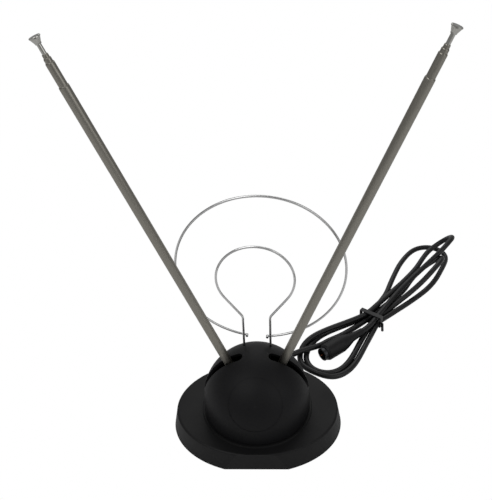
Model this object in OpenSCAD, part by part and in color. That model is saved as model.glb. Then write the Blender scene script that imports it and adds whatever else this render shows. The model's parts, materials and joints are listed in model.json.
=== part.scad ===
// Indoor television antenna: two telescopic rods and two wire loops on a weighted base.
// Millimetres. +Z is up, the front faces -Y, and the origin is under the middle of the base.

/* [Base] */
// Width of the base at its foot
base_w = 136; // [128:1:150]
// Depth of the full ellipse, before the front is cut flat
base_d = 108; // [104:1:120]
// How far the flat front is cut in
front_cut = 3.6; // [1:0.1:5]
// Height of the base's top face
base_h = 17.4; // [16:0.2:22]
// How much narrower each side is at the top than at the foot
base_draft = 2.4; // [1:0.2:4]
// Radius of the base's top edge
base_edge_r = 1.6; // [0.6:0.2:2.4]
// Wall of the base shell
base_wall = 2.2; // [1.8:0.1:3]
// Thickness of the bottom cover
cover_t = 2; // [1.6:0.1:3]
// Height that the rubber feet stand proud
foot_h = 0.8; // [0.5:0.1:1.6]
// Radius of a rubber foot
foot_r = 6; // [4:0.5:8]
// Radius of the steel ballast
ballast_r = 35; // [25:1:38]
// Thickness of the steel ballast
ballast_t = 5; // [3:0.5:6]

/* [Dome] */
// Outer radius of the dome
dome_r = 42.3; // [40:0.1:44]
// Height of the dome's centre, where its skirt ends
dome_z = 30.3; // [28:0.1:33]
// Wall of the dome
dome_wall = 2.2; // [1.6:0.1:3]
// Width of the raised collar round the dome
collar_w = 2; // [1:0.2:3]
// Height of the raised collar
collar_h = 1; // [0.6:0.1:2]
// Radius of the blank round seat on the dome's front
seat_r = 20.6; // [10:0.1:21]
// Depth of the blank seat
seat_depth = 0.2; // [0.2:0.1:0.8]
// Elevation that the seat faces
seat_tilt = 33; // [20:1:36]

/* [Rods] */
// Distance of each rod's pivot from the middle
pivot_x = 10.5; // [9:0.1:12]
// Height of the pivots
pivot_z = 38; // [36:0.5:42]
// Lean of each rod from upright
rod_lean = 21.5; // [10:0.5:60]
// Smallest lean, at the slot's inner end
lean_min = 6; // [5:0.5:9]
// Largest lean, at the slot's outer end
lean_max = 80; // [70:1:84]
// Outer diameter of the thickest tube
tube_d = 7; // [6.6:0.1:7.6]
// Step in diameter from one section to the next
tube_step = 1; // [0.95:0.05:1.1]
// Wall of a tube
tube_wall = 0.2; // [0.15:0.01:0.22]
// From the pivot to the mouth of the thickest tube
tube_reach = 273.3; // [250:1:300]
// How far the second section stands out of the first
second_out = 16; // [14:0.5:20]
// How far the third section stands out of the second
third_out = 3; // [2:0.5:6]
// How far the fourth section stands out of the third
fourth_out = 2.5; // [2:0.5:6]
// Bare rod between the fourth section and the knob
tip_out = 6.5; // [6:0.5:10]
// Travel of each section
slide_travel = 200; // [150:5:205]
// Length of the crimped mouth of a tube
mouth_l = 2.5; // [1.5:0.5:4]
// Length of the spring bush on each section's tail
bush_l = 6; // [4:0.5:9]
// Running clearance between sections, on the radius
slide_gap = 0.05; // [0.03:0.01:0.08]
// Diameter of the tip knob's top
knob_d = 7.5; // [6:0.1:9]
// Height of the tip knob
knob_h = 5; // [4:0.2:7]

/* [Pivots] */
// Radius of the eye at the rod's foot
eye_r = 4.5; // [4:0.1:5]
// Thickness of the eye
eye_t = 4; // [3:0.2:4.4]
// Gap between the eye and each ear
ear_gap = 0.1; // [0.05:0.05:0.3]
// Thickness of the bracket's sheet
ear_t = 1; // [0.8:0.1:1.4]
// Diameter of the pivot screw
pivot_screw_d = 3; // [2.5:0.1:3.5]
// Running clearance of the eye on its screw, on the radius
pivot_gap = 0.05; // [0.03:0.01:0.08]
// Height of the bracket's foot above the base
bracket_z = 12; // [11:0.5:13]
// Clearance of the rod in its slot, on each side
slot_gap = 0.5; // [0.3:0.1:1]

/* [Loops] */
// Diameter of the loop wire
wire_d = 1.8; // [1.5:0.1:2.2]
// Centreline radius of the small loop
small_loop_r = 29.4; // [27:0.2:33]
// Height of the small loop's centre
small_loop_z = 132.5; // [125:0.5:140]
// Half the spacing of the small loop's legs
leg_x = 10.5; // [9:0.1:12]
// Bend radius where the legs turn upright
leg_bend_r = 6; // [4:0.5:8]
// Angle at which the small loop closes in to its legs
neck_angle = 36.5; // [30:0.5:42]
// Centreline radius of the large loop
large_loop_r = 63.2; // [58:0.2:68]
// Height of the large loop's centre
large_loop_z = 139.8; // [136:0.2:144]
// Sideways place of the large loop against the small one
large_loop_x = 3.8; // [0:0.2:5]
// Distance of the loops behind the rods
loop_y = 16; // [14:0.5:18]
// Sideways place of the loops
loop_x = 1.2; // [-2:0.2:2]
// Turn of the loops about their upright axis
loop_turn = -3; // [-5:0.5:5]

/* [Cord] */
// Diameter of the cord
cord_d = 5.2; // [4.8:0.1:5.4]
// Height of the cord where it leaves the base
cord_z = 8.5; // [8:0.1:9]
// How far to the right of the middle the cord leaves the back
cord_x = 20; // [14:0.5:24]
// Length of the strain relief outside the base
grommet_l = 10; // [8:0.5:12]
// Diameter of the plug's grip
plug_d = 15.4; // [13:0.2:16]
// Length of the plug's grip and its tapered boot
plug_l = 46; // [40:0.5:46]
// Diameter of the plug's knurled nut
nut_d = 12; // [11:0.1:13]
// Bore of the plug's nut
nut_bore_d = 9.2; // [9:0.1:9.5]
// How far the nut stands out of the grip
nut_l = 3; // [2:0.2:8]

/* [Hidden] */
$fn = 64;
eps = 0.01;

// The base is an ellipse, and its middle is where the dome and the rods stand
mid_y = -front_cut/2;
front_y = mid_y - base_d/2 + front_cut;
fit_gap = 0.3;
cover_top = foot_h + cover_t;
shell_roof = base_h - base_wall;

// Screws: head radius, head height, thread radius, pilot radius
screw_head_r = 2.6;
screw_head_h = 1.6;
screw_r = 1.4;
screw_gap = 0.2;
cover_screw_h = 0.9;
cover_screw_l = 9;
dome_screw_bite = 10;
dome_screw_l = base_wall + dome_screw_bite;
dome_hole_l = 14;
boss_r = 3.4;
cover_screw_x = base_w*0.37;
cover_screw_y = base_d*0.22;
foot_x = base_w/4;
foot_y = base_d/3;
dome_screw_x = 23;
dome_screw_y = 23;

// Telescopic sections: radius, mouth and tail of each along the rod from its pivot
function tube_r(k) = (tube_d - (k-1)*tube_step)/2;
function bore_r(k) = tube_r(k) - tube_wall;
function mouth_r(k) = tube_r(k+1) + slide_gap;
mouths = [0, tube_reach, tube_reach + second_out, tube_reach + second_out + third_out,
  tube_reach + second_out + third_out + fourth_out];
function tail(k) = mouths[k-1] - mouth_l - bush_l - slide_travel;
knob_at = mouths[4] + tip_out;
collar_at = 6;
shank_at = 7.5;
shank_l = 9;

// Bracket and pivot hardware
slot_past = 20;
ear_y = eye_t/2 + ear_gap;
foot_z = base_h + bracket_z;
bracket_w = 2*eye_r;
pivot_head_r = 2.8;
pivot_head_h = 1.8;
washer_r = 2.9;
washer_t = 0.8;
hex_r = 3.1;
hex_t = 2.4;
tower_w = 2*(pivot_x + eye_r) + 2;
tower_d = 2*(ear_y + ear_t) + 2;

// Board inside the dome, under the loop's legs
board_z = base_h + 6.6;
board_t = 1.6;
board_w = 36;
board_d = 24;
board_y = loop_y + 3;
board_screw_x = 14;
ring_core_r = 5;
ring_core_in = 2.6;
ring_core_h = 4;
winding_t = 0.75;
ring_core_x = 0;
ring_core_y = board_y + 2;

// Cord: the hank lies on the floor behind the base, along its own axis from the tie
hank_at = [112, 119.5];
hank_turn = 53.5;
cord_r = cord_d/2;
hank_h = 2*cord_d + 1;
cord_y = base_d/2*sqrt(1 - pow(2*cord_x/base_w, 2));
cord_turn = atan2(cord_x/pow(base_w, 2), cord_y/pow(base_d, 2));
// A point on the cord's line, this far outside the base's foot
function back_point(out, z) = [cord_x + out*sin(cord_turn), mid_y + cord_y + out*cos(cord_turn), z];
lead_route = [back_point(-4, cord_z), back_point(4, cord_z), back_point(11.5, cord_z),
  [26.2, 66.6, 8.4], [33.2, 71.5, 8.3], [40.2, 75.4, 8.2], [48, 79, 8.1], [56, 83.8, 6.6],
  [64.3, 92.6, 4.6], [70.3, 97.2, 3.5], [76.1, 101.3, cord_r + 0.3], [81.7, 105.9, cord_r + 0.1],
  [84.4, 108.2, cord_r + 0.1]];
// Where the cord rises to the board, and its way there inside the base
rise_x = board_w/2 - 3.4;
rise_y = board_y + board_d/2 - 3;
function to_rise(t, z) = [lerp(back_point(-10, 0)[0], rise_x, t), lerp(back_point(-10, 0)[1], rise_y, t), z];
inner_route = [back_point(-4, cord_z), back_point(-10, cord_z), to_rise(0.45, cord_z + 1),
  to_rise(0.8, cord_z + 4.3), to_rise(0.97, cord_z + 9), to_rise(1, board_z)];
upper_outline = [[-14, 22.2], [0, 17.7], [20, 16.4], [44.5, 18.6], [56.5, 21.8], [69, 25.2], [82, 28.6],
  [95, 31.6], [110, 33.6], [121, 34], [132, 32.8], [141, 28.6], [147.5, 21.8], [150.4, 14], [151, 6],
  [149, -3], [143, -8], [135, -11], [120, -13], [108, -16], [95, -17], [80, -16.8], [65, -15.2],
  [53, -13.4], [41, -11.2], [28, -8.4], [14, -5.6], [0, -3.4], [-14, -5.6]];
ring_outline = [[-12, 21.6], [-20, 25], [-29, 29.2], [-40, 33.6], [-52, 37.8], [-64, 39.9], [-76, 38.6],
  [-86, 33.2], [-92.6, 24.5], [-95.8, 13.5], [-95.4, 3], [-90.5, -7], [-81, -12.8], [-70, -15], [-57, -14.4],
  [-45, -12.2], [-33, -9.5], [-20, -6.8], [-12, -5.4]];
ring_window = [[-27, 19], [-34, 24.8], [-44, 29], [-54, 31.4], [-63, 31.2], [-71, 28.6], [-78.5, 24], [-84, 17],
  [-86.4, 10], [-85, 3.6], [-79, -1.6], [-70, -4.2], [-59, -3.7], [-47.5, -1.6], [-36, 1], [-27, 3]];
// The two inner folds lean on each other: their strands' ends and their tips
fold_low = [[50, 2, 7], [62, 4.6, 2.6], [95, 7.1, 2.8], [106.5, 3.8, 6.4], [111.2, -4.2, 14.6],
  [106.5, -12.2, 22.8], [95, -15.5, 26.2], [64, -10.5, 15]];
fold_high = [[70, 8.6, 8], [129, 12.9, 8.2], [140.5, 9.6, 11.6], [145.2, 1.6, 19.8], [140.5, -6.4, 28],
  [129, -9.7, 31.4], [84, 0.8, 13.4]];

// The plug lies inside the lower loop: nose and boot end, in the hank's frame
plug_boot = [-25.8, 1.6, plug_d/2 + 1.6];
plug_yaw = 164.4;
plug_dip = 1.9;
grip_l = 24;
boot_l = plug_l - grip_l;

// Twist tie: width, thickness, and where its two sides stand across the hank
tie_w = 4.5;
tie_t = 0.8;
tie_y0 = -3.4;
tie_y1 = 17.8;
tie_tail_r = 1.2;
tie_tail_l = 10;
hank_w = 80;

function lerp(a, b, t) = a + (b-a)*t;
// A Catmull-Rom point between b and c
function bend(a, b, c, d, t) = 0.5*(2*b + (c-a)*t + (2*a-5*b+4*c-d)*t*t + (3*b-3*c+d-a)*t*t*t);
function smooth(p, n) = let(m = len(p))
  [for (i = [0:m-2]) for (j = [0:n-1])
    bend(p[max(i-1, 0)], p[i], p[i+1], p[min(i+2, m-1)], j/n), p[m-1]];
function smooth_ring(p, n) = let(m = len(p))
  [for (i = [0:m-1]) for (j = [0:n-1]) bend(p[(i+m-1)%m], p[i], p[(i+1)%m], p[(i+2)%m], j/n)];
function unit(v) = v/norm(v);
function heading(p, i) = unit(p[min(i+1, len(p)-1)] - p[max(i-1, 0)]);

// A tube swept along points, with flat ends; no part of it runs along the given normal
module swept(p, r, sides, normal) {
  rings = [for (i = [0:len(p)-1]) let(d = heading(p, i), s = unit(cross(d, normal)), u = cross(s, d))
    for (k = [0:sides-1]) p[i] + r*(cos(360*k/sides)*s + sin(360*k/sides)*u)];
  n = len(p);
  walls = [for (i = [0:n-2]) for (k = [0:sides-1])
    [i*sides + k, i*sides + (k+1)%sides, (i+1)*sides + (k+1)%sides, (i+1)*sides + k]];
  first = [for (k = [sides-1:-1:0]) k];
  last = [for (k = [0:sides-1]) (n-1)*sides + k];
  polyhedron(points = rings, faces = concat([first], walls, [last]), convexity = 6);
}

// Revolves a profile of [offset from the ellipse's outline, height] and stretches it sideways
module oval(profile) {
  outer = [for (p = profile) [base_d/2 + p[0], p[1]]];
  translate([0, mid_y, 0]) scale([base_w/base_d, 1, 1]) rotate_extrude()
    polygon(concat([[0, profile[0][1]]], outer, [[0, profile[len(profile)-1][1]]]));
}

// How far in the drafted side is at a height
function draft_at(z) = -base_draft*(z - foot_h)/(base_h - foot_h);

module four(x, y) {
  for (i = [-1, 1], j = [-1, 1]) translate([i*x, mid_y + j*y, 0]) children();
}

module screw(length) {
  translate([0, 0, -length]) cylinder(r = screw_r, h = length);
  difference() {
    cylinder(r = screw_head_r, h = screw_head_h);
    for (turn = [0, 90]) rotate([0, 0, turn])
      translate([-1.6, -0.3, screw_head_h - 0.8]) cube([3.2, 0.6, 1]);
  }
}

module base_shell() {
  edge = base_edge_r;
  top_in = draft_at(base_h);
  color("#1c1c1e") difference() {
    union() {
      difference() {
        oval(concat([[0, foot_h]], [for (a = [0:15:90]) [draft_at(base_h - edge) - edge
          + edge*cos(a), base_h - edge + edge*sin(a)]]));
        translate([-base_w/2, front_y - base_d, -1]) cube([base_w, base_d, base_h + 2]);
      }
      translate([0, mid_y, base_h - eps]) difference() {
        cylinder(r1 = dome_r + collar_w, r2 = dome_r + collar_w - 0.5, h = collar_h);
        translate([0, 0, -1]) cylinder(r = dome_r + 0.1, h = collar_h + 3);
      }
      translate([-tower_w/2, mid_y - tower_d/2, base_h - eps]) cube([tower_w, tower_d, bracket_z + eps]);
      for (i = [-1, 1]) translate([i*board_screw_x, board_y, base_h - eps])
        cylinder(r = boss_r, h = board_z - base_h + eps);
    }
    difference() {
      oval([[-base_wall, foot_h - 1], [draft_at(shell_roof) - base_wall, shell_roof]]);
      translate([-base_w/2, front_y + base_wall - base_d, -1]) cube([base_w, base_d, base_h + 2]);
      four(cover_screw_x, cover_screw_y) translate([0, 0, cover_top]) cylinder(r = boss_r, h = base_h);
      four(ballast_r*0.55, ballast_r*0.5)
        translate([0, 0, cover_top + ballast_t + 0.1]) cylinder(r = boss_r, h = base_h);
    }
    four(cover_screw_x, cover_screw_y) cylinder(r = screw_r, h = base_h - base_wall + 0.4);
    four(dome_screw_x, dome_screw_y) {
      translate([0, 0, shell_roof - 1]) cylinder(r = screw_r + screw_gap, h = base_wall + 2);
    }
    for (i = [-1, 1]) {
      translate([i*board_screw_x, board_y, shell_roof + 1]) cylinder(r = screw_r, h = board_z);
      translate([i*pivot_x, mid_y, foot_z - 8]) cylinder(r = screw_r, h = 10);
    }
    // Way through the roof for the cord, and through the back wall for its strain relief
    translate([rise_x, rise_y, shell_roof - 1]) cylinder(r = cord_r + 2.2, h = base_wall + 3);
    on_back() cylinder(r = cord_r + 2, h = 2*grommet_l, center = true);
  }
}

module bottom_cover() {
  off = -base_wall - fit_gap;
  color("#161617") difference() {
    oval([[off, foot_h], [off + draft_at(cover_top), cover_top]]);
    translate([-base_w/2, front_y + base_wall + fit_gap - base_d, -1]) cube([base_w, base_d, base_h]);
    four(cover_screw_x, cover_screw_y) {
      cylinder(r = screw_r + screw_gap, h = base_h);
      cylinder(r = screw_head_r + screw_gap, h = foot_h + 1);
    }
    four(foot_x, foot_y) cylinder(r = foot_r + 0.1, h = foot_h + 0.8);
  }
}

module ballast_plate() {
  color("#8a8d90") translate([0, mid_y, cover_top]) difference() {
    cylinder(r = ballast_r, h = ballast_t);
    for (i = [-1, 1]) translate([i*ballast_r*0.72, 0, -1]) cylinder(r = 3, h = ballast_t + 2);
  }
}

module rubber_feet() {
  color("#202020") four(foot_x, foot_y) cylinder(r = foot_r, h = foot_h + 0.8);
}

module cover_screws() {
  color("#b8babc") four(cover_screw_x, cover_screw_y)
    translate([0, 0, foot_h + 1]) mirror([0, 0, 1]) cover_screw();
}

// A flat-headed screw that stays inside the cover's recess
module cover_screw() {
  difference() {
    union() {
      cylinder(r = screw_head_r, h = cover_screw_h);
      translate([0, 0, -cover_screw_l]) cylinder(r = screw_r, h = cover_screw_l + eps);
    }
    for (turn = [0, 90]) rotate([0, 0, turn]) translate([-1.6, -0.3, 0.4]) cube([3.2, 0.6, 1]);
  }
}

// The arc slot that one rod swings in, at the given side
module rod_slot(side) {
  r = tube_d/2 + slot_gap;
  reach = dome_r + slot_past;
  translate([side*pivot_x, mid_y, pivot_z]) {
    rotate([90, 0, 0]) translate([0, 0, -r]) linear_extrude(2*r)
      polygon(concat([[0, 0]], [for (i = [0:8]) let(a = lerp(lean_min, lean_max, i/8))
        reach*[side*sin(a), cos(a)]]));
    for (a = [lean_min, lean_max]) rotate([0, side*a, 0]) cylinder(r = r, h = reach);
  }
}

module dome_cover() {
  inner = dome_r - dome_wall;
  color("#232326") difference() {
    union() {
      difference() {
        dome_body(dome_r);
        translate([0, 0, -1]) dome_body(inner, 1);
      }
      intersection() {
        dome_body(dome_r - 0.5);
        four(dome_screw_x, dome_screw_y) cylinder(r = boss_r, h = dome_z + dome_r);
      }
    }
    for (side = [-1, 1]) rod_slot(side);
    four(dome_screw_x, dome_screw_y) cylinder(r = screw_r, h = base_h + dome_hole_l);
    loop_frame() for (i = [-1, 1]) translate([i*leg_x, 0, dome_z]) cylinder(r = wire_d/2 + 0.2, h = dome_r);
    // Blank seat on the front
    translate([0, mid_y, dome_z]) rotate([90 - seat_tilt, 0, 0]) difference() {
      cylinder(r = seat_r, h = dome_r + 5);
      sphere(r = dome_r - seat_depth, $fn = 128);
    }
  }
}

module dome_body(r, down = 0) {
  translate([0, mid_y, base_h]) cylinder(r = r, h = dome_z - base_h + down, $fn = 128);
  translate([0, mid_y, dome_z + down]) intersection() {
    sphere(r = r, $fn = 128);
    translate([-r - 1, -r - 1, 0]) cube([2*r + 2, 2*r + 2, r + 1]);
  }
}

module dome_screws() {
  color("#b8babc") four(dome_screw_x, dome_screw_y)
    translate([0, 0, shell_roof]) mirror([0, 0, 1]) screw(dome_screw_l);
}

module bracket(side) {
  out = ear_y + ear_t;
  top = pivot_z - foot_z;
  color("#a9adb1") translate([side*pivot_x, mid_y, foot_z]) difference() {
    union() {
      translate([-bracket_w/2, -out, 0]) cube([bracket_w, 2*out, ear_t]);
      for (s = [-1, 1]) translate([0, s*(ear_y + ear_t/2), 0]) {
        translate([-bracket_w/2, -ear_t/2, 0]) cube([bracket_w, ear_t, top]);
        translate([0, ear_t/2, top]) rotate([90, 0, 0]) cylinder(r = bracket_w/2, h = ear_t);
      }
    }
    translate([0, out + 1, top]) rotate([90, 0, 0]) cylinder(r = pivot_screw_d/2 + 0.1, h = 2*out + 2);
    translate([0, 0, -1]) cylinder(r = screw_r + 0.1, h = ear_t + 2);
  }
}

module bracket_screws() {
  color("#c4c6c8") for (i = [-1, 1]) translate([i*pivot_x, mid_y, foot_z + ear_t]) {
    cylinder(r = 1.9, h = 1.1);
    translate([0, 0, -7]) cylinder(r = screw_r, h = 7 + eps);
  }
}

// Things on a pivot's axis: z runs along the screw, from its head at the front
module on_pivot(side) {
  translate([side*pivot_x, mid_y - ear_y - ear_t, pivot_z]) rotate([-90, 0, 0]) children();
}

module pivot_screw(side) {
  span = 2*(ear_y + ear_t);
  color("#c9cbcd") on_pivot(side) {
    difference() {
      translate([0, 0, -pivot_head_h]) cylinder(r = pivot_head_r, h = pivot_head_h);
      translate([-pivot_head_r, -0.4, -pivot_head_h - eps]) cube([2*pivot_head_r, 0.8, 0.8]);
    }
    translate([0, 0, -eps]) cylinder(r = pivot_screw_d/2, h = span + washer_t + hex_t + 1);
  }
}

module spring_washer(side) {
  color("#8f9296") on_pivot(side) translate([0, 0, 2*(ear_y + ear_t)]) difference() {
    cylinder(r = washer_r, h = washer_t);
    translate([0, 0, -1]) cylinder(r = pivot_screw_d/2 + 0.1, h = washer_t + 2);
    translate([0, -0.3, -1]) cube([washer_r + 1, 0.6, washer_t + 2]);
  }
}

module pivot_nut(side) {
  color("#c9cbcd") on_pivot(side) translate([0, 0, 2*(ear_y + ear_t) + washer_t]) difference() {
    cylinder(r = hex_r, h = hex_t, $fn = 6);
    translate([0, 0, -1]) cylinder(r = pivot_screw_d/2 + 0.02, h = hex_t + 2);
  }
}

module loop_frame() {
  translate([loop_x, mid_y + loop_y, 0]) rotate([0, 0, loop_turn]) children();
}

// An arc of wire about a centre in the upright XZ plane
module wire_arc(x, z, r, from, to) {
  translate([x, 0, z]) rotate([90, 0, 0]) rotate([0, 0, from]) rotate_extrude(angle = to - from)
    translate([r, 0]) circle(d = wire_d, $fn = 24);
}

// Points on an arc in the XZ plane
function arc(x, z, r, from, to, n) = [for (i = [0:n]) let(a = lerp(from, to, i/n))
  [x + r*cos(a), 0, z + r*sin(a)]];

module small_loop() {
  ring_end = [small_loop_r*cos(neck_angle), small_loop_z - small_loop_r*sin(neck_angle)];
  bend_x = leg_x + leg_bend_r;
  run = (ring_end[0] - bend_x + leg_bend_r*cos(neck_angle))/sin(neck_angle);
  bend_z = ring_end[1] - run*cos(neck_angle) - leg_bend_r*sin(neck_angle);
  color("#c2c4c6") loop_frame() swept(concat([[leg_x, 0, board_z]],
    arc(bend_x, bend_z, leg_bend_r, 180, 180 - neck_angle, 4),
    arc(0, small_loop_z, small_loop_r, -neck_angle, 180 + neck_angle, 48),
    arc(-bend_x, bend_z, leg_bend_r, neck_angle, 0, 4), [[-leg_x, 0, board_z]]),
    wire_d/2, 14, [0, 1, 0]);
}

// The large loop's ends pass behind the legs and hook forward round them
module large_loop() {
  hook_l = 2;
  past = wire_d + 0.7;
  ends = [for (side = [-1, 1]) asin((side*(leg_x - past) - large_loop_x)/large_loop_r)];
  color("#c2c4c6") loop_frame() translate([0, wire_d - 0.1, 0]) {
    wire_arc(large_loop_x, large_loop_z, large_loop_r, ends[1] - 90, 270 + ends[0]);
    for (end = ends)
      translate([large_loop_x + large_loop_r*sin(end), 0, large_loop_z - large_loop_r*cos(end)]) {
        sphere(d = wire_d + 0.4, $fn = 24);
        rotate([90, 0, 0]) cylinder(d = wire_d + 0.2, h = hook_l, $fn = 24);
      }
  }
}

module circuit_board() {
  color("#3b6b3f") difference() {
    translate([-board_w/2, board_y - board_d/2, board_z]) cube([board_w, board_d, board_t]);
    for (i = [-1, 1]) translate([i*board_screw_x, board_y, board_z - 1])
      cylinder(r = screw_r + screw_gap, h = board_t + 2);
    loop_frame() for (i = [-1, 1]) translate([i*leg_x, 0, board_z - 1])
      cylinder(d = wire_d + 0.2, h = board_t + 2);
  }
}

module board_screws() {
  color("#c4c6c8") for (i = [-1, 1]) translate([i*board_screw_x, board_y, board_z + board_t]) screw(6);
}

module ferrite_ring() {
  color("#4a4a4c") translate([ring_core_x, ring_core_y, board_z + board_t + winding_t]) difference() {
    cylinder(r = ring_core_r, h = ring_core_h);
    translate([0, 0, -1]) cylinder(r = ring_core_in, h = ring_core_h + 2);
  }
}

// Turns of wire round the ring's section, which stand it on the board
module balun_winding() {
  t = winding_t - 0.05;
  w = ring_core_r - ring_core_in;
  color("#b5673a") for (i = [0:7])
    translate([ring_core_x, ring_core_y, board_z + board_t + winding_t]) rotate([0, 0, 45*i + 22.5])
      translate([ring_core_in, -t/2, 0]) difference() {
        translate([-t - 0.05, 0, -t - 0.05]) cube([w + 2*t + 0.1, t, ring_core_h + 2*t + 0.1]);
        translate([-0.05, -1, -0.05]) cube([w + 0.1, t + 2, ring_core_h + 0.1]);
      }
}

module lead_wire(side) {
  x = side*pivot_x;
  y = mid_y + ear_y + ear_t + 0.05;
  z = foot_z + 3;
  top = board_z + board_t;
  color(side < 0 ? "#8c2f2b" : "#2c2c2e") swept(smooth([[x, y, z], [x, y + 2.2, z],
    [x, y + 5, z - 1.5], [x, y + 7.2, top + 2.5], [x, y + 7.5, top]], 4), 0.7, 8, [1, 0, 0]);
}

// The cord's way out through the back wall: z runs outwards from the wall's outer face
module on_back() {
  translate(back_point(draft_at(cord_z), cord_z)) rotate([0, 0, -cord_turn]) rotate([-90, 0, 0]) children();
}

module inner_cord() {
  color("#141415") swept(smooth(inner_route, 3), cord_r, 10, [1, 0, 0]);
}

// Strain relief: a flange inside the wall, a neck through it and a tapered sleeve outside
module cord_grommet() {
  // The wall leans, so the flange and the sleeve each keep this far from it on the axis
  lean = 0.9;
  neck = base_wall + lean;
  color("#1a1a1c") on_back() difference() {
    union() {
      translate([0, 0, -neck - 1.7]) cylinder(r = cord_r + 3.2, h = 1.7);
      translate([0, 0, -neck - eps]) cylinder(r = cord_r + 1.9, h = neck + lean + 2*eps);
      translate([0, 0, lean]) cylinder(r1 = cord_r + 2.8, r2 = cord_r + 1, h = grommet_l);
    }
    translate([0, 0, -grommet_l]) cylinder(r = cord_r + 0.05, h = 3*grommet_l);
  }
}

module cord_lead() {
  color("#141415") swept(smooth(lead_route, 4), cord_r, 10, [0, 0, 1]);
}

module hank_frame() {
  translate([hank_at[0], hank_at[1], 0]) rotate([0, 0, hank_turn]) children();
}

// The folded cord as one closed solid, open inside its lower loop where the plug lies
module cord_hank() {
  color("#141415") hank_frame() difference() {
    union() {
      linear_extrude(hank_h) polygon(smooth_ring(upper_outline, 4));
      linear_extrude(cord_d) difference() {
        polygon(smooth_ring(ring_outline, 4));
        polygon(smooth_ring(ring_window, 4));
      }
      for (fold = [fold_low, fold_high])
        hull() for (p = fold) translate(p) sphere(r = cord_r, $fn = 12);
    }
    for (z = [-1, hank_h - tie_t - 0.1])
      translate([-tie_w/2 - 0.1, -hank_w/2, z]) cube([tie_w + 0.2, hank_w, tie_t + 1.1]);
    for (y = [tie_y0 - hank_w/2, tie_y1])
      translate([-tie_w/2 - 0.1, y, -1]) cube([tie_w + 0.2, hank_w/2, hank_h + 2]);
  }
}

// A flat twist tie round the hank's waist, with its twisted tail
module cord_tie() {
  color("#101011") hank_frame() {
    difference() {
      translate([-tie_w/2, tie_y0 - tie_t, 0]) cube([tie_w, tie_y1 - tie_y0 + 2*tie_t, hank_h]);
      translate([-tie_w, tie_y0, tie_t]) cube([2*tie_w, tie_y1 - tie_y0, hank_h - 2*tie_t]);
    }
    translate([0, tie_y0 - 1.7, 4]) rotate([90, 0, -60]) cylinder(r = tie_tail_r, h = tie_tail_l, $fn = 8);
  }
}

// Plug: z runs from the boot's end towards the nose
module plug_frame() {
  hank_frame() translate(plug_boot) rotate([0, 0, plug_yaw]) rotate([0, 90 + plug_dip, 0]) children();
}

module plug_grip() {
  r = plug_d/2;
  color("#121213") plug_frame() difference() {
    rotate_extrude() polygon([[0, 0], [cord_r + 0.6, 0], [cord_r + 1.4, boot_l*0.6],
      [r - 1, boot_l], [r, boot_l + 5], [r, plug_l - 2], [r - 1, plug_l], [0, plug_l]]);
    translate([0, 0, plug_l - 10]) cylinder(d = nut_d + 0.1, h = 11);
  }
}

module plug_nut() {
  color("#b9bcc0") plug_frame() translate([0, 0, plug_l - 10]) difference() {
    cylinder(d = nut_d, h = 10 + nut_l);
    translate([0, 0, 3]) cylinder(d = nut_bore_d, h = 10 + nut_l);
    translate([0, 0, -1]) cylinder(r = 2, h = 6);
  }
}

module plug_pin() {
  color("#c98f4e") plug_frame() translate([0, 0, plug_l - 10]) {
    cylinder(r = 2, h = 3.4);
    cylinder(r = 0.5, h = 10 + nut_l + 1);
  }
}

// Places the pieces of one rod: z runs up the rod from its pivot
module on_rod(side) {
  translate([side*pivot_x, mid_y, pivot_z]) rotate([0, side*rod_lean, 0]) children();
}

module knuckle(side) {
  color("#b4b6b4") on_rod(side) difference() {
    union() {
      rotate([90, 0, 0]) translate([0, 0, -eye_t/2]) cylinder(r = eye_r, h = eye_t);
      translate([-2.8, -eye_t/2, 0]) cube([5.6, eye_t, collar_at + 1]);
      translate([0, 0, collar_at]) cylinder(r = tube_r(1), h = shank_at - collar_at);
      cylinder_between(bore_r(1) - 0.01, shank_at - eps, shank_at + shank_l);
    }
    rotate([90, 0, 0]) translate([0, 0, -eye_t]) cylinder(r = pivot_screw_d/2 + pivot_gap, h = 2*eye_t);
  }
}

module cylinder_between(r, low, high) {
  translate([0, 0, low]) cylinder(r = r, h = high - low);
}

// One telescopic tube with its crimped mouth
module tube(side, k) {
  low = k == 1 ? shank_at : tail(k);
  high = mouths[k];
  r = tube_r(k);
  color("#a8a59c") on_rod(side) rotate_extrude() polygon([[bore_r(k), low], [r, low], [r, high - 0.6],
    [r - 0.15, high - 0.15], [r - 0.3, high], [mouth_r(k), high], [mouth_r(k), high - mouth_l],
    [bore_r(k), high - mouth_l]]);
}

// The split spring bush that rides on a section's tail
module bush(side, k) {
  color("#b08a3e") on_rod(side) translate([0, 0, tail(k)]) difference() {
    cylinder(r = bore_r(k-1) - slide_gap, h = bush_l);
    translate([0, 0, -1]) cylinder(r = tube_r(k), h = bush_l + 2);
    translate([0, -0.3, -1]) cube([tube_r(k) + 2, 0.6, bush_l + 2]);
  }
}

module tip_rod(side) {
  color("#b9b9b6") on_rod(side) translate([0, 0, tail(5)])
    cylinder(r = tube_r(5), h = knob_at + knob_h - 1.5 - tail(5));
}

module tip_knob(side) {
  r = tube_r(5);
  color("#b9b9b6") on_rod(side) translate([0, 0, knob_at]) rotate_extrude() polygon([
    [r, 0], [r + 0.5, 0], [r + 0.6, 0.8], [knob_d/2 - 0.4, knob_h - 1.2], [knob_d/2, knob_h - 0.8],
    [knob_d/2, knob_h - 0.2], [knob_d/2 - 0.2, knob_h], [0, knob_h], [0, knob_h - 1.5], [r, knob_h - 1.5]]);
}

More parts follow.
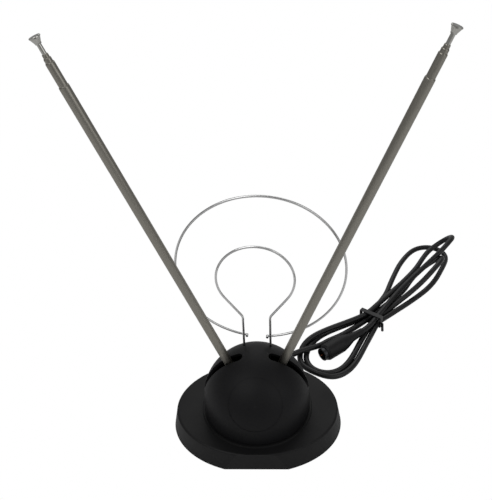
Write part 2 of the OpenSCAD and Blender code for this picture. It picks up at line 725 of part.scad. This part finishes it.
base_shell();
bottom_cover();
ballast_plate();
rubber_feet();
cover_screws();
dome_cover();
dome_screws();
bracket(-1);  // left_bracket
bracket(1);  // right_bracket
bracket_screws();
pivot_screw(-1);  // left_pivot_screw
pivot_screw(1);  // right_pivot_screw
spring_washer(-1);  // left_spring_washer
spring_washer(1);  // right_spring_washer
pivot_nut(-1);  // left_pivot_nut
pivot_nut(1);  // right_pivot_nut
small_loop();
large_loop();
circuit_board();
board_screws();
ferrite_ring();
balun_winding();
lead_wire(-1);  // left_lead_wire
lead_wire(1);  // right_lead_wire
inner_cord();
cord_grommet();
cord_lead();
cord_hank();
cord_tie();
plug_grip();
plug_nut();
plug_pin();
knuckle(-1);  // left_knuckle
tube(-1, 1);  // left_tube_1
tube(-1, 2);  // left_tube_2
tube(-1, 3);  // left_tube_3
tube(-1, 4);  // left_tube_4
tip_rod(-1);  // left_tip_rod
tip_knob(-1);  // left_tip_knob
bush(-1, 2);  // left_bush_2
bush(-1, 3);  // left_bush_3
bush(-1, 4);  // left_bush_4
bush(-1, 5);  // left_bush_5
knuckle(1);  // right_knuckle
tube(1, 1);  // right_tube_1
tube(1, 2);  // right_tube_2
tube(1, 3);  // right_tube_3
tube(1, 4);  // right_tube_4
tip_rod(1);  // right_tip_rod
tip_knob(1);  // right_tip_knob
bush(1, 2);  // right_bush_2
bush(1, 3);  // right_bush_3
bush(1, 4);  // right_bush_4
bush(1, 5);  // right_bush_5
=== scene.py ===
import math

import bmesh
import bpy
from mathutils import Matrix, Vector
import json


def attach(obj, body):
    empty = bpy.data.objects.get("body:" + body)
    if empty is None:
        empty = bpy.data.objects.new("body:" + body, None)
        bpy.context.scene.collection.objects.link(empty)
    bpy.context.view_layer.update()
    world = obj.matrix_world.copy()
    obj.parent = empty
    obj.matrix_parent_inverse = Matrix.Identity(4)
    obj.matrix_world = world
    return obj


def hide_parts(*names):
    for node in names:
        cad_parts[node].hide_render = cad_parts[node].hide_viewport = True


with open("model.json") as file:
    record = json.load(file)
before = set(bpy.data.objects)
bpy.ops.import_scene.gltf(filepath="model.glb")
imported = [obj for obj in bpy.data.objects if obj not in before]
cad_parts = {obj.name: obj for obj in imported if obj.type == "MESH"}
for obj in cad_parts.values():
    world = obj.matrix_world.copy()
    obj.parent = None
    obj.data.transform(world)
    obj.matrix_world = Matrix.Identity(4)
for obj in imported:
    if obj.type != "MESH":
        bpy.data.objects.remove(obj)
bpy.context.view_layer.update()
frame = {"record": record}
scene = bpy.context.scene
mm = 0.001


def linear(hexColour):
    values = [int(hexColour[i:i + 2], 16) / 255 for i in (1, 3, 5)]
    return tuple(v / 12.92 if v <= 0.04045 else ((v + 0.055) / 1.055) ** 2.4 for v in values) + (1.0,)


# Lengths in mm, angles in radians, focal length and width in pixels
cameraView = {
    "aim": (-3.6934, -1.8, 170.0212),  # in the plane that the rods stand in
    "distance": 508.752,
    "pitch": 0.5922,
    "yaw": 0.0556,
    "roll": -0.0429,
    "focal": 731.1875,
    "width": 492,
    "sensor": 36,
}


def makeCamera(view):
    turn = (Matrix.Rotation(view["yaw"], 4, "Z")
            @ Matrix.Rotation(math.pi / 2 - view["pitch"], 4, "X")
            @ Matrix.Rotation(view["roll"], 4, "Z"))
    back = turn @ Vector((0, 0, view["distance"]))
    data = bpy.data.cameras.new("Camera")
    data.sensor_fit = "HORIZONTAL"
    data.sensor_width = view["sensor"]
    data.lens = view["sensor"] * view["focal"] / view["width"]
    data.clip_start = 0.01
    data.clip_end = 20
    camera = bpy.data.objects.new("Camera", data)
    scene.collection.objects.link(camera)
    camera.matrix_world = Matrix.Translation((Vector(view["aim"]) + back) * mm) @ turn
    scene.camera = camera


makeCamera(cameraView)
print("camera placed")


def addNode(tree, kind, settings=None, links=None):
    node = tree.nodes.new(kind)
    for key, value in (settings or {}).items():
        if hasattr(node, key):
            setattr(node, key, value)
        else:
            node.inputs[key].default_value = value
    for key, source in (links or {}).items():
        tree.links.new(source, node.inputs[key])
    return node


def finish(name, colour, metallic=0.0, roughness=0.5, bump=None, vary=None, specular=0.5):
    material = bpy.data.materials.new(name)
    material.use_nodes = True
    tree = material.node_tree
    shader = tree.nodes["Principled BSDF"]
    shader.inputs["Base Color"].default_value = linear(colour)
    shader.inputs["Metallic"].default_value = metallic
    shader.inputs["Roughness"].default_value = roughness
    shader.inputs["Specular IOR Level"].default_value = specular
    place = addNode(tree, "ShaderNodeTexCoord")
    if vary:
        noise = addNode(tree, "ShaderNodeTexNoise", {"Scale": vary["scale"], "Detail": 4.0},
                        {"Vector": place.outputs["Object"]})
        spread = addNode(tree, "ShaderNodeMapRange", {
            "From Min": 0.3, "From Max": 0.7,
            "To Min": roughness - vary["amount"], "To Max": roughness + vary["amount"],
        }, {"Value": noise.outputs["Fac"]})
        tree.links.new(spread.outputs["Result"], shader.inputs["Roughness"])
    if bump:
        grain = addNode(tree, "ShaderNodeTexNoise", {"Scale": bump["scale"], "Detail": 3.0},
                        {"Vector": place.outputs["Object"]})
        lift = addNode(tree, "ShaderNodeBump", {"Strength": bump["strength"], "Distance": bump["depth"]},
                       {"Height": grain.outputs["Fac"]})
        tree.links.new(lift.outputs["Normal"], shader.inputs["Normal"])
    return material


# Scales are patterns per metre: a 1.1 mm grain, coarser than the moulded one so that it shows
mouldedGrain = {"scale": 900.0, "strength": 0.25, "depth": 0.0002}
jacketGrain = {"scale": 500.0, "strength": 0.15, "depth": 0.0002}
# Patches of 33 and 25 mm, a little more or less glossy
mouldedPatches = {"scale": 30.0, "amount": 0.04}
jacketPatches = {"scale": 40.0, "amount": 0.06}

materials = {
    # Moulded black ABS with a fine satin grain, nearly without highlights
    "base_plastic": finish("Satin black base", "#0b0b0c", 0, 0.52, mouldedGrain, mouldedPatches, 0.24),
    "dome_plastic": finish("Satin black dome", "#0b0b0d", 0, 0.55, mouldedGrain, mouldedPatches, 0.2),
    # Zinc-plated sheet and screws: pale grey with a soft sheen
    "steel_plate": finish("Zinc plate", "#a5a8ab", 1, 0.4),
    "screw_steel": finish("Plated screws", "#b5b7ba", 1, 0.3),
    # Moulded rubber, matt
    "rubber": finish("Black rubber", "#161616", 0, 0.75),
    # Bright drawn wire of the loops
    "loop_wire": finish("Bright wire", "#d0d0d0", 1, 0.2),
    # Drawn tube with dull nickel plate, warm grey; the turned tips are brighter
    "rod_nickel": finish("Dull nickel tube", "#8f8c84", 1, 0.34),
    "tip_nickel": finish("Bright nickel tip", "#b3b2ad", 1, 0.2),
    # Rolled brass, yellow and half glossy
    "bush_brass": finish("Brass bush", "#b08a3e", 1, 0.35),
    # Glass fibre board under a glossy green mask
    "board_laminate": finish("Solder mask", "#24552c", 0, 0.35),
    # Pressed ferrite, dark grey and dull
    "ferrite": finish("Ferrite", "#333336", 0, 0.6),
    # Enamelled copper wire
    "copper": finish("Copper", "#b5673a", 1, 0.35),
    # Extruded PVC on the lead wires
    "red_insulation": finish("Red insulation", "#8c2f2b", 0, 0.45),
    "black_insulation": finish("Black insulation", "#1d1d1f", 0, 0.45),
    # Soft extruded PVC jacket, a little glossier than the base
    "cord_jacket": finish("Black cord jacket", "#0e0e10", 0, 0.42, jacketGrain, jacketPatches, 0.4),
    # Moulded PVC grip, as dull as the base
    "plug_plastic": finish("Black plug grip", "#0c0c0e", 0, 0.5, mouldedGrain, None, 0.3),
    # Nickel-plated nut, its colour darkened to paint in the shade it sits in
    "plug_metal": finish("Plug metal with painted shade", "#3f4042", 1, 0.35),
}
for entry in frame["record"]["subparts"]:
    item = bpy.data.objects.get(entry["node"])
    if item and item.type == "MESH":
        item.data.materials.clear()
        item.data.materials.append(materials[entry["material_slot"]])
print("materials made")


# Lengths in mm, the turn in degrees, the lean in radians
cord = {
    "radius": 2.6,
    "exit": (20.9, 53.2, 8.5),
    "hankAt": (112.0, 119.5),
    "hankTurn": 53.5,
    "fold": 16.6,
    "lean": 0.8,
    "step": 1.5,
    "rounds": 14,
    "floorGap": 0.02,
    "bevel": 6,
}
hankAngle = math.radians(cord["hankTurn"])
hankU = Vector((math.cos(hankAngle), math.sin(hankAngle), 0))
hankV = Vector((-hankU.y, hankU.x, 0))


def onHank(u, v, z):
    return Vector((*cord["hankAt"], z)) + u * hankU + v * hankV


# A fold's half circle, seen from the tie: from its +v side round the tip to its -v side
def foldHead(u, v, height, count=10):
    r = cord["fold"]
    lean = cord["lean"]
    points = []
    for i in range(count + 1):
        angle = math.radians(90 - 180 * i / count)
        side = r * math.sin(angle)
        points.append((u + r * math.cos(angle), v + side * math.cos(lean), height - side * math.sin(lean)))
    return points


# From the base's back to the hank, in the part's own frame
exitRun = [(19.05, 45.92, 8.5), (20.95, 53.7, 8.5), (22.73, 60.98, 8.5), (26.2, 66.6, 8.4),
           (33.2, 71.5, 8.2), (40.2, 75.4, 8.1), (48, 79, 7.9), (56, 83.8, 6.4)]
# The rest is in the hank's own frame: along it from the tie, across it, and up
innerFold = ([(-50, 22.3, 4.6), (-43, 20.3, 3.4), (-36, 18.2, 2.8), (-24, 15.2, 2.6), (-12, 12.4, 2.8),
              (0, 9.8, 3.4), (20, 8, 2.6), (45, 5.2, 2.6), (62, 4.6, 2.6), (78, 6.6, 2.7)]
             + foldHead(95, -4.2, 14.6)
             + [(78, -14.6, 22.6), (64, -10.5, 15), (50, -5.5, 8.6), (36, -1.4, 5), (18, 2, 2.8),
                (0, 4.6, 3.4)])
innerRing = [(-12, 2.8, 2.8), (-26.8, 0.3, 2.6), (-36, -1.6, 2.6), (-47.5, -4.2, 2.6), (-59, -6.3, 2.6),
             (-69, -6.8, 2.6), (-77.5, -5.2, 2.6), (-84, -1.2, 2.6), (-88, 5.2, 2.6), (-89, 12.6, 2.6),
             (-87, 19.8, 2.6), (-82, 26, 2.6), (-75, 30.4, 2.6), (-66, 33.2, 2.6), (-56, 34.2, 2.6),
             (-46, 33, 2.6), (-36, 29.8, 2.6), (-26, 25.4, 2.6), (-14, 20, 2.6)]
outerFold = [(0, 15, 3.4), (20, 13.6, 2.6), (44.5, 15.8, 2.6), (56.5, 19.1, 2.6), (68.8, 22.5, 2.6),
             (81.8, 25.8, 2.6), (95.1, 28.8, 2.6), (110, 30.8, 2.6), (121, 31.2, 2.6), (130.2, 30.4, 2.6),
             (138.4, 27, 2.6), (144.2, 21, 2.6), (146.8, 14, 2.6), (146.4, 7, 2.6), (143.2, 0.8, 2.6),
             (137.6, -4.2, 2.6), (130, -7, 2.6), (113, -10.4, 2.6), (98.3, -12.8, 2.6), (86.2, -13.7, 2.6),
             (75.7, -13.5, 2.6), (64.7, -12.4, 2.6), (53.4, -10.6, 2.6), (41, -8.4, 2.6), (28.2, -5.6, 2.6),
             (14, -2.8, 2.8), (0, -0.6, 3.4)]
outerRing = [(-12, -2.6, 2.8), (-24, -5, 2.6), (-34, -7, 2.6), (-46, -9.6, 2.6), (-58, -11.8, 2.6),
             (-69, -12.4, 2.6), (-80, -10.2, 2.6), (-88, -4.6, 3.2), (-92.6, 4, 5), (-93.4, 13.5, 5),
             (-91.4, 22.6, 3.6), (-85, 30.8, 2.6), (-76.5, 35.8, 3.2), (-67, 37.5, 5.4), (-57, 35.6, 7.5),
             (-46, 32, 7.7), (-36, 27.8, 7.7), (-26, 23.2, 7.6), (-14, 17.6, 7.7)]
topFold = ([(0, 12.4, 7.9), (20, 11, 7.8), (45, 9.6, 7.9), (70, 8.6, 8), (95, 9.2, 8), (114, 11.6, 8.2)]
           + foldHead(129, 1.6, 19.8)
           + [(114, -8.2, 27), (100, -3.6, 19.6), (84, 0.8, 13.4), (66, 3.4, 10.2), (45, 4.2, 8.6),
              (22, 3.4, 8), (0, 2, 7.9), (-12, 0.6, 8.5), (-25.8, 1.6, 9.3), (-36, 4.4, 8.96)])


# A centripetal Catmull-Rom curve through the points, cut at an even step
def smoothLine(points, step, cuts=24):
    pts = [2 * points[0] - points[1]] + points + [2 * points[-1] - points[-2]]
    fine = []
    for i in range(1, len(pts) - 2):
        p = pts[i - 1:i + 3]
        t = [0.0]
        for j in range(3):
            t.append(t[-1] + math.sqrt((p[j + 1] - p[j]).length))
        for k in range(cuts):
            s = t[1] + (t[2] - t[1]) * k / cuts
            a = [p[j] * ((t[j + 1] - s) / (t[j + 1] - t[j])) + p[j + 1] * ((s - t[j]) / (t[j + 1] - t[j]))
                 for j in range(3)]
            b = [a[j] * ((t[j + 2] - s) / (t[j + 2] - t[j])) + a[j + 1] * ((s - t[j]) / (t[j + 2] - t[j]))
                 for j in range(2)]
            fine.append(b[0] * ((t[2] - s) / (t[2] - t[1])) + b[1] * ((s - t[1]) / (t[2] - t[1])))
    fine.append(points[-1])
    out, travelled, target = [fine[0]], 0.0, step
    for a, b in zip(fine, fine[1:]):
        gap = (b - a).length
        while travelled + gap >= target:
            out.append(a.lerp(b, (target - travelled) / gap))
            target += step
        travelled += gap
    shortest = step * 0.3  # a last piece under this would crowd the end
    if (out[-1] - fine[-1]).length > shortest:
        out.append(fine[-1])
    return out


# Evens out the bends, with the ends held
def relax(points, rounds):
    for _ in range(rounds):
        points = ([points[0], points[1]]
                  + [(a + 2 * b + c) / 4 for a, b, c in zip(points[1:], points[2:], points[3:])]
                  + [points[-1]])
    return points


hankPoints = innerFold + innerRing + outerFold + outerRing + topFold
cordPoints = [Vector(p) for p in exitRun] + [onHank(*p) for p in hankPoints]
cordLine = relax(smoothLine(cordPoints, cord["step"]), cord["rounds"])
for point in cordLine:
    point.z = max(point.z, cord["radius"] + cord["floorGap"])


def tubeCurve(name, points, radius, bevel, material):
    data = bpy.data.curves.new(name, "CURVE")
    data.dimensions = "3D"
    data.bevel_depth = radius * mm
    data.bevel_resolution = bevel
    data.use_fill_caps = True
    spline = data.splines.new("POLY")
    spline.points.add(len(points) - 1)
    for point, place in zip(spline.points, points):
        point.co = (*(Vector(place) * mm), 1)
    spline.use_smooth = True
    data.materials.append(material)
    piece = bpy.data.objects.new(name, data)
    scene.collection.objects.link(piece)
    return piece


cordPiece = tubeCurve("coaxial_cord", cordLine, cord["radius"], cord["bevel"], materials["cord_jacket"])
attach(cordPiece, "base")
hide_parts("cord_lead", "cord_hank", "inner_cord")
print("cord laid")


# Lengths and places in metres, lamp power in watts
stage = {
    "floorSize": 6.0,
    "floorGrey": 0.9,
    "worldLight": 0.31,
    "lampAim": (0, 0, 0.12),
    "lamps": {
        "Key": {"at": (-0.5, -0.5, 1.1), "size": 0.8, "power": 4.3},
        "Fill": {"at": (0.8, -0.5, 0.7), "size": 0.8, "power": 2.2},
        "Back": {"at": (0.1, 0.9, 0.9), "size": 0.9, "power": 3.0},
    },
}


# The camera sees plain white, and everything else is lit by the first shader
def whiteToCamera(tree, lit, whiteKind, end):
    white = addNode(tree, whiteKind, {"Color": (1, 1, 1, 1), "Strength": 1.0})
    path = addNode(tree, "ShaderNodeLightPath")
    mix = addNode(tree, "ShaderNodeMixShader", None, {0: path.outputs["Is Camera Ray"]})
    tree.links.new(lit.outputs[0], mix.inputs[1])
    tree.links.new(white.outputs[0], mix.inputs[2])
    tree.links.new(mix.outputs[0], tree.nodes[end].inputs["Surface"])


mesh = bpy.data.meshes.new("Floor")
shape = bmesh.new()
bmesh.ops.create_grid(shape, x_segments=1, y_segments=1, size=stage["floorSize"])
shape.to_mesh(mesh)
shape.free()
floor = bpy.data.objects.new("Floor", mesh)
scene.collection.objects.link(floor)
floorMaterial = bpy.data.materials.new("White floor")
floorMaterial.use_nodes = True
matt = floorMaterial.node_tree.nodes["Principled BSDF"]
matt.inputs["Base Color"].default_value = (stage["floorGrey"],) * 3 + (1,)
matt.inputs["Roughness"].default_value = 1.0
matt.inputs["Specular IOR Level"].default_value = 0.0
whiteToCamera(floorMaterial.node_tree, matt, "ShaderNodeEmission", "Material Output")
mesh.materials.append(floorMaterial)

world = bpy.data.worlds.new("Studio")
scene.world = world
world.use_nodes = True
light = world.node_tree.nodes["Background"]
light.inputs["Color"].default_value = (1, 1, 1, 1)
light.inputs["Strength"].default_value = stage["worldLight"]
whiteToCamera(world.node_tree, light, "ShaderNodeBackground", "World Output")

for name, lamp in stage["lamps"].items():
    data = bpy.data.lights.new(name, "AREA")
    data.size = lamp["size"]
    data.energy = lamp["power"]
    item = bpy.data.objects.new(name, data)
    item.location = lamp["at"]
    item.rotation_euler = (Vector(stage["lampAim"]) - item.location).to_track_quat("-Z", "Y").to_euler()
    scene.collection.objects.link(item)

scene.view_settings.view_transform = "Standard"
print("stage lit")
